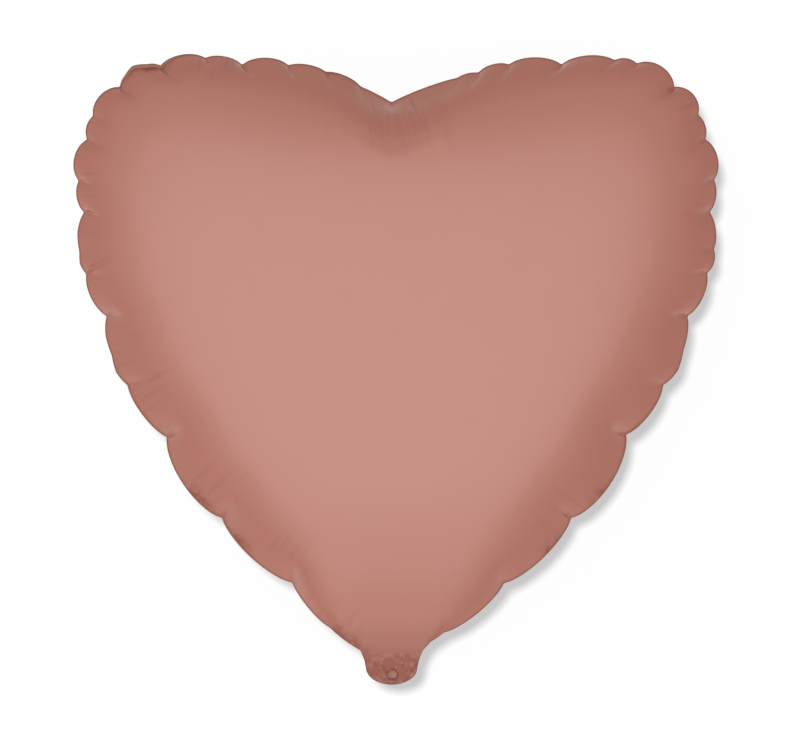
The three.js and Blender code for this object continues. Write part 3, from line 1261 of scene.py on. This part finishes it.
    def _tone(self, points: np.ndarray, outer: Skin, inner: Skin) -> np.ndarray:
        """How much the film's colour deepens: painted shade by the rim, over the lower tip and the tail, in
        creases and at the top-left fold, and darker patches by the rim.
        """
        far_in = np.concatenate([outer.far_in, inner.far_in])
        flat, below = points[:, [0, 2]], -points[:, 2]
        mottle = patchy(flat, 1.3 * MM) + patchy(flat, 3.1 * MM)
        # Painted shade over the heart's lower tip: the colour deepens from 26 mm above the fold and is full
        # 10 mm below it, so the tail is deep all over, mottled from the fold down.
        tail = smoothstep(below, -26 * MM, 10 * MM)
        tail *= 1 + 0.75 * mottle * smoothstep(below, -4 * MM, 3 * MM)
        # Painted shade: the colour deepens a little within 30 mm of the rim.
        rim = 1 - smoothstep(far_in, 0.0, 30 * MM)
        # Darker patches by the rim; the two at the top-left fold are painted shade of the fold.
        rim_darkening = sum(dark_patch.darkness(flat, far_in) for dark_patch in RIM_DARK_PATCHES) * (1 + 1.4 * mottle)
        # Painted shade in the creases, deeper where a crease draws the film in further.
        creased = np.concatenate([outer.drop, np.zeros(len(inner.points))]) / MM
        return np.clip(0.08 * rim + 0.92 * tail + rim_darkening + self.crease_shade * creased, 0, 1)


def band_faces(a: list[int], b: list[int], turned_over: bool = False) -> list[tuple[int, ...]]:
    """Faces between two closed loops of as many points.

    Args:
        a: Vertex numbers of the first loop.
        b: Vertex numbers of the second loop.
        turned_over: Whether the faces look the other way.

    Returns:
        One face for each point of a loop.
    """
    faces = []
    for i in range(len(a)):
        n = (i + 1) % len(a)
        faces.append((a[n], a[i], b[i], b[n]) if turned_over else (a[i], a[n], b[n], b[i]))
    return faces


def ring_faces(outer: int, outer_count: int, inner: int, inner_count: int) -> list[tuple[int, ...]]:
    """Faces between two rings, the inner with as many points or half as many.

    Args:
        outer: Number of the outer ring's first point.
        outer_count: How many points the outer ring has.
        inner: Number of the inner ring's first point.
        inner_count: How many points the inner ring has.

    Returns:
        Faces in the outer ring's order.
    """
    if outer_count == inner_count:
        return band_faces(list(range(outer, outer + outer_count)), list(range(inner, inner + inner_count)))
    faces: list[tuple[int, ...]] = []
    for i in range(inner_count):
        n = (i + 1) % inner_count
        a, b, c = outer + 2 * i, outer + 2 * i + 1, outer + (2 * i + 2) % outer_count
        faces += [(a, b, inner + i), (b, inner + n, inner + i), (b, c, inner + n)]
    return faces


def tail_crumple(points: np.ndarray) -> np.ndarray:
    """How far the crumpled tail's layers lie towards +Y at XZ points; all layers share it."""
    x, z = points[:, 0] / MM, points[:, 1] / MM
    waves = (
        0.55 * np.sin(0.42 * x + 0.5 * z + 0.6)
        + 0.35 * np.sin(0.95 * x - 0.55 * z + 2.0)
        + 0.22 * np.sin(1.5 * x + 1.1 * z + 4.1)
    )
    lean = 0.10 * np.clip(-z - 2, 0, None)
    return MM * (waves * smoothstep(-z, 1.0, 9.0) + lean)


# ---- welded rim -----------------------------------------------------------------------------------------


@dataclass
class WeldedRim:
    """The narrow band where the two films are welded, all round the heart and the tail."""

    outline: Outline
    width: float = 4 * MM
    rows: tuple[float, ...] = (0.0, 0.25, 0.5, 1.0)
    half_thickness: float = 0.25 * MM
    ripple: float = 0.12 * MM
    ripple_scale: float = 160.0
    seed: float = 5.0

    def _ribbon(self) -> bpy.types.Object:
        """A flat ribbon from the cut edge inwards."""
        edge = self.outline.cut_edge()
        inward = inward_normals(edge, 4)
        flat = np.concatenate([edge + inward * self.width * share for share in self.rows])
        points = np.stack([flat[:, 0], tail_crumple(flat), flat[:, 1]], axis=1)
        count = len(edge)
        faces = []
        for start in range(0, count * (len(self.rows) - 1), count):
            row, after = range(start, start + count), range(start + count, start + 2 * count)
            faces += band_faces(list(row), list(after))
        return mesh_object("weld_ribbon", points, faces)

    def _tree(self) -> bpy.types.NodeTree:
        """Geometry Nodes that ripple the ribbon along its path and give it thickness."""
        group = bpy.data.node_groups.new("welded_rim", "GeometryNodeTree")
        face = group.interface
        face.new_socket("Geometry", in_out="INPUT", socket_type="NodeSocketGeometry")
        for label in ("Half Thickness", "Ripple", "Seed"):
            face.new_socket(label, in_out="INPUT", socket_type="NodeSocketFloat")
        face.new_socket("Material", in_out="INPUT", socket_type="NodeSocketMaterial")
        face.new_socket("Geometry", in_out="OUTPUT", socket_type="NodeSocketGeometry")
        tree = Tree(group)
        entry = tree.add("NodeGroupInput").outputs
        noise = tree.add(
            "ShaderNodeTexNoise", {"Scale": self.ripple_scale, "W": entry["Seed"]}, noise_dimensions="4D"
        )
        height = tree.math("MULTIPLY", tree.math("SUBTRACT", noise.outputs["Fac"], 0.5), entry["Ripple"])
        offset = tree.add("ShaderNodeCombineXYZ", {"Y": height}).outputs[0]
        move = tree.add("GeometryNodeSetPosition", {"Geometry": entry["Geometry"], "Offset": offset})
        down = tree.math("MULTIPLY", entry["Half Thickness"], -1.0)
        shift = tree.add("ShaderNodeCombineXYZ", {"Y": down}).outputs[0]
        front = tree.add("GeometryNodeSetPosition", {"Geometry": move.outputs["Geometry"], "Offset": shift})
        ribbon = front.outputs["Geometry"]
        extrude = tree.add("GeometryNodeExtrudeMesh", {
            "Mesh": ribbon,
            "Offset": tree.add("ShaderNodeCombineXYZ", {"Y": 1.0}).outputs[0],
            "Offset Scale": tree.math("MULTIPLY", entry["Half Thickness"], 2.0),
            "Individual": False,
        }, mode="FACES")
        flip = tree.add("GeometryNodeFlipFaces", {"Mesh": ribbon})
        join = tree.add("GeometryNodeJoinGeometry", {"Geometry": extrude.outputs["Mesh"]})
        tree.tree.links.new(flip.outputs["Mesh"], join.inputs["Geometry"])
        merge = tree.add(
            "GeometryNodeMergeByDistance", {"Geometry": join.outputs["Geometry"], "Distance": 0.005 * MM}
        )
        real = tree.add("GeometryNodeRealizeInstances", {"Geometry": merge.outputs["Geometry"]})
        dress = tree.add(
            "GeometryNodeSetMaterial", {"Geometry": real.outputs["Geometry"], "Material": entry["Material"]}
        )
        tree.add("NodeGroupOutput", {"Geometry": dress.outputs["Geometry"]})
        return group

    def build(self, material: bpy.types.Material) -> bpy.types.Object:
        """Make the welded rim.

        Args:
            material: The band's finish.

        Returns:
            The band as a plain mesh.
        """
        ribbon = self._ribbon()
        modifier = ribbon.modifiers.new("welded_rim", "NODES")
        modifier.node_group = self._tree()
        values = {
            "Half Thickness": self.half_thickness,
            "Ripple": self.ripple,
            "Seed": self.seed,
            "Material": material,
        }
        for item in modifier.node_group.interface.items_tree:
            if item.in_out == "INPUT" and item.name in values:
                modifier[item.identifier] = values[item.name]
        return plain_mesh(ribbon, "welded_rim")


def plain_mesh(source: bpy.types.Object, name: str) -> bpy.types.Object:
    """Turn an object with modifiers into a plain mesh and remove the source.

    Args:
        source: The object whose modifiers are evaluated.
        name: The new object's name.

    Returns:
        The new object, with outward faces.
    """
    graph = bpy.context.evaluated_depsgraph_get()
    mesh = bpy.data.meshes.new_from_object(source.evaluated_get(graph))
    mesh.name = name
    bpy.data.objects.remove(source)
    shape = bmesh.new()
    shape.from_mesh(mesh)
    bmesh.ops.recalc_face_normals(shape, faces=shape.faces)
    shape.to_mesh(mesh)
    shape.free()
    return linked(name, mesh)


# ---- valve ----------------------------------------------------------------------------------------------


@dataclass
class ValveStrip:
    """One of the two clear strips of the valve, from the tail up into the gas chamber.

    Its lower end is round over `shoulder`. Above `free_above` it ripples a little, and the release print that
    keeps the strips apart lies between the heights of `printed`.
    """

    face: Face
    outline: Outline
    thickness: float = 0.2 * MM
    columns: int = 40
    rows: int = 150
    shoulder: float = 8 * MM
    ripple: float = 0.12 * MM
    ripple_lengths: tuple[float, float] = (4 * MM, 5.5 * MM)
    free_above: tuple[float, float] = (10 * MM, 40 * MM)
    printed: tuple[float, float] = (8 * MM, 62 * MM)
    print_edge: float = 2 * MM

    def build(self) -> bpy.types.Object:
        """Make the strip, with its fill hole on the front one.

        Returns:
            The strip's object.
        """
        shape = self._grid()
        if self.face is Face.FRONT:
            self._punch(shape)
        self._ripple(shape)
        mesh = bpy.data.meshes.new(f"valve_{self.face.name.lower()}_strip")
        shape.to_mesh(mesh)
        shape.free()
        mesh.shade_smooth()
        made = linked(mesh.name, mesh)
        solidify = made.modifiers.new("film", "SOLIDIFY")
        solidify.thickness = self.thickness
        solidify.offset = 0.0
        finished = plain_mesh(made, mesh.name + "_film")
        finished.data.shade_smooth()
        heights = np.array([v.co.z for v in finished.data.vertices])
        low, high = self.printed
        starts = smoothstep(heights, low, low + self.print_edge)
        ends = smoothstep(-heights, -high, -high + self.print_edge)
        store_attribute(finished, MASK_NAME, starts * ends)
        return finished

    def _grid(self) -> bmesh.types.BMesh:
        """The flat strip as a grid of faces, between its two CAD nodes' ends."""
        low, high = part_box("valve_front_film")
        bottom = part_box("valve_front_inlet")[0].z
        near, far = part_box(f"valve_{self.face.name.lower()}_film")
        level = self.face.value * abs(near.y + far.y) / 2
        across = np.linspace(low.x, high.x, self.columns + 1)
        shoulder = bottom + self.shoulder
        shape = bmesh.new()
        grid = []
        for z in np.linspace(bottom, high.z, self.rows + 1):
            drop = min(1.0, max(0.0, (shoulder - z) / (shoulder - bottom)))
            squeeze = math.sqrt(max(0.02, 1.0 - drop**2))
            grid.append([shape.verts.new((x * squeeze, level, z)) for x in across])
        for lower, upper in zip(grid[:-1], grid[1:]):
            for k in range(self.columns):
                shape.faces.new((lower[k], lower[k + 1], upper[k + 1], upper[k]))
        return shape

    def _punch(self, shape: bmesh.types.BMesh) -> None:
        """Cut the round fill hole."""
        centre, radius = self.outline.hole_middle, self.outline.hole_radius
        middles = [(f, f.calc_center_median()) for f in shape.faces]
        gone = [f for f, at in middles if math.hypot(at.x - centre[0], at.z - centre[1]) < radius]
        bmesh.ops.delete(shape, geom=gone, context="FACES")
        for vert in shape.verts:
            spoke = np.array([vert.co.x, vert.co.z]) - centre
            away = float(np.linalg.norm(spoke))
            if vert.is_boundary and away < radius * 1.5:
                vert.co.x, vert.co.z = centre + spoke / away * radius

    def _ripple(self, shape: bmesh.types.BMesh) -> None:
        """Lay the strip along the tail's crumples, and ripple the part in the gas chamber."""
        flat = np.array([(vert.co.x, vert.co.z) for vert in shape.verts])
        across, up = self.ripple_lengths
        wave = self.ripple * np.sin(flat[:, 1] / up) * np.cos(flat[:, 0] / across)
        moved = tail_crumple(flat) + wave * smoothstep(flat[:, 1], *self.free_above)
        for vert, away in zip(shape.verts, moved):
            vert.co.y += float(away)


# ---- studio ---------------------------------------------------------------------------------------------


@dataclass
class Studio:
    """Camera, pale sweep and soft light; angles in degrees."""

    distance: float = 2.2
    view_width: float = 0.4968
    sensor: float = 36.0
    shift_right: float = 2.5 * MM
    shift_up: float = 0.9 * MM
    wall_gap: float = 12 * MM
    wall_paint: float = 0.12
    wall_glow: float = 0.50
    wall_top: float = 2.5
    floor: float = -0.75
    floor_reach: float = 5.0
    side_reach: float = 3.0
    corner_radius: float = 0.3
    corner_steps: int = 12
    shadow_power: float = 334.0
    shadow_lamp_at: tuple[float, float, float] = (-0.185, -3.0, 0.24)
    shadow_lamp_size: float = 0.24
    soft_aim: tuple[float, float] = (-3.0, -12.0)
    soft_edge: tuple[float, float] = (32.0, 72.0)
    rear_edge: tuple[float, float] = (18.0, 56.0)
    soft_light: float = 1.25
    room_light: float = 0.66
    room_lean: tuple[float, float, float] = (-0.05, 0.0, -0.04)

    def __post_init__(self) -> None:
        """Keep the object's middle."""
        low, high = CAD_BOX
        self.middle = (low + high) / 2
        self.back = high.y

    def camera(self) -> None:
        """Face the balloon squarely, with a long lens."""
        data = bpy.data.cameras.new("camera")
        data.sensor_width = self.sensor
        data.lens = data.sensor_width * self.distance / self.view_width
        data.clip_end = 50.0
        made = linked("camera", data)
        made.location = (self.middle.x + self.shift_right, -self.distance, self.middle.z + self.shift_up)
        made.rotation_euler = (math.pi / 2, 0.0, 0.0)
        bpy.context.scene.camera = made

    def sweep(self) -> bpy.types.Object:
        """A white wall close behind the balloon that curves into a floor well below it.

        Returns:
            The sweep.
        """
        back, radius = self.back + self.wall_gap, self.corner_radius
        profile = [(back, self.wall_top)]
        for k in range(self.corner_steps + 1):
            turn = math.radians(90 * k / self.corner_steps)
            y = back - radius + radius * math.cos(turn)
            z = self.floor + radius - radius * math.sin(turn)
            profile.append((y, z))
        profile.append((back - self.floor_reach, self.floor))
        points = np.array([(x, y, z) for y, z in profile for x in (-self.side_reach, self.side_reach)])
        faces = [(2 * i + 1, 2 * i, 2 * i + 2, 2 * i + 3) for i in range(len(profile) - 1)]
        sweep = mesh_object("pale_sweep", points, faces)
        sweep.data.materials.append(self._sweep_paint())
        return sweep

    def _sweep_paint(self) -> bpy.types.Material:
        """White paint that glows a little, and that only the camera sees, from its front side."""
        made = bpy.data.materials.new("pale_paint")
        made.use_nodes = True
        tree = Tree(made.node_tree)
        paint = tree.add("ShaderNodeBsdfDiffuse", {"Color": (self.wall_paint,) * 3 + (1.0,)})
        glow = tree.add("ShaderNodeEmission", {"Strength": self.wall_glow})
        lit = tree.add("ShaderNodeAddShader", {0: paint.outputs[0], 1: glow.outputs[0]})
        clear = tree.add("ShaderNodeBsdfTransparent")
        front = tree.math("SUBTRACT", 1.0, tree.add("ShaderNodeNewGeometry").outputs["Backfacing"])
        seen = tree.math("MULTIPLY", front, tree.add("ShaderNodeLightPath").outputs["Is Camera Ray"])
        mix = tree.add("ShaderNodeMixShader", {0: seen, 1: clear.outputs[0], 2: lit.outputs[0]})
        tree.add("ShaderNodeOutputMaterial", {"Surface": mix.outputs[0]})
        return made

    def shadow_lamp(self, sweep: bpy.types.Object) -> None:
        """A small lamp from the upper left that draws the balloon's short shadow on the sweep.

        Args:
            sweep: The only thing that the lamp lights.
        """
        data = bpy.data.lights.new("shadow_lamp", "AREA")
        data.shape = "DISK"
        data.size = self.shadow_lamp_size
        data.energy = self.shadow_power
        made = linked("shadow_lamp", data)
        aside, ahead, above = self.shadow_lamp_at
        made.location = (self.middle.x + aside, ahead, self.middle.z + above)
        aim = self.middle - made.location
        made.rotation_euler = aim.to_track_quat("-Z", "Y").to_euler()
        lit = bpy.data.collections.new("lit_by_shadow_lamp")
        lit.objects.link(sweep)
        made.light_linking.receiver_collection = lit

    def room(self) -> None:
        """Even pale surroundings with a wide soft light in front and a narrower one behind."""
        made = bpy.data.worlds.new("pale_room")
        made.use_nodes = True
        tree = Tree(made.node_tree)
        way = tree.add("ShaderNodeTexCoord").outputs["Generated"]
        split = tree.add("ShaderNodeSeparateXYZ", {0: way}).outputs
        depth = tree.math("ABSOLUTE", split["Y"])
        folded = tree.add("ShaderNodeCombineXYZ", {"X": split["X"], "Y": depth, "Z": split["Z"]})
        aside, down = (math.radians(a) for a in self.soft_aim)
        aim = (math.sin(aside) * math.cos(down), math.cos(aside) * math.cos(down), math.sin(down))
        facing = tree.add("ShaderNodeVectorMath", {0: folded.outputs[0], 1: aim}, operation="DOT_PRODUCT")
        lean = tree.add("ShaderNodeVectorMath", {0: way, 1: self.room_lean}, operation="DOT_PRODUCT")
        behind = tree.math("GREATER_THAN", split["Y"], 0.0)
        front_edge, rear_edge = (
            tuple(math.cos(math.radians(a)) for a in edge) for edge in (self.soft_edge, self.rear_edge)
        )
        start, full = (tree.mapped(behind, (front_edge[k], rear_edge[k])) for k in (1, 0))
        bright = tree.add("ShaderNodeMapRange", {
            "Value": facing.outputs["Value"],
            "From Min": start,
            "From Max": full,
            "To Min": tree.math("ADD", lean.outputs["Value"], self.room_light),
            "To Max": self.soft_light,
        }, interpolation_type="SMOOTHSTEP")
        seen = tree.add("ShaderNodeMix", {
            "Factor": tree.add("ShaderNodeLightPath").outputs["Is Camera Ray"],
            "A": bright.outputs["Result"],
            "B": 1.0,
        }, data_type="FLOAT")
        ground = tree.add("ShaderNodeBackground", {"Strength": seen.outputs["Result"]})
        tree.add("ShaderNodeOutputWorld", {"Surface": ground.outputs[0]})
        bpy.context.scene.world = made

    def build(self) -> None:
        """Set up everything round the balloon."""
        self.camera()
        self.shadow_lamp(self.sweep())
        self.room()
        scene = bpy.context.scene
        scene.view_settings.view_transform = "Standard"
        scene.view_settings.look = "None"


# ---- assembly -------------------------------------------------------------------------------------------


def hang(piece: bpy.types.Object, material: bpy.types.Material, nodes: tuple[str, ...]) -> None:
    """Give a piece its finish if it has none, fix its place into its mesh, and hide the CAD nodes that it
    stands for.

    Args:
        piece: The film.
        material: Its finish.
        nodes: CAD nodes that it stands for.
    """
    if not piece.data.materials:
        piece.data.materials.append(material)
    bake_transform(piece)
    if nodes:
        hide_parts(*nodes)
    LOG.info("%s: %d faces", piece.name, len(piece.data.polygons))


def main() -> None:
    """Build the studio and every piece of the balloon in order."""
    logging.basicConfig(level=logging.INFO, format="%(name)s: %(message)s")
    Studio().build()
    groups = {"crinkle": crinkle_group(), "tint": tint_group()}
    foil = SATIN_FOIL.material(groups)
    weld = WELD_FOIL.material(groups)
    clear = CLEAR_FILM.material(groups)
    outline = Outline()
    LOG.info("outline: %d stations, %d puckers", len(outline.heart), len(outline.puckers))
    swell = GasSwell(outline.bridge, outline.middle)
    front = FoilFilm(Face.FRONT, outline, swell).build()
    hang(front, foil, ("front_panel", "tail_front_film"))
    rear = FoilFilm(Face.REAR, outline, swell).build()
    hang(rear, foil, ("rear_panel", "tail_rear_film"))
    rim = WeldedRim(outline).build(weld)
    hang(rim, weld, ())
    front_strip = ValveStrip(Face.FRONT, outline).build()
    hang(front_strip, clear, ("valve_front_film", "valve_front_inlet"))
    rear_strip = ValveStrip(Face.REAR, outline).build()
    hang(rear_strip, clear, ("valve_rear_film", "valve_rear_inlet"))


if __name__ == "__main__":
    main()
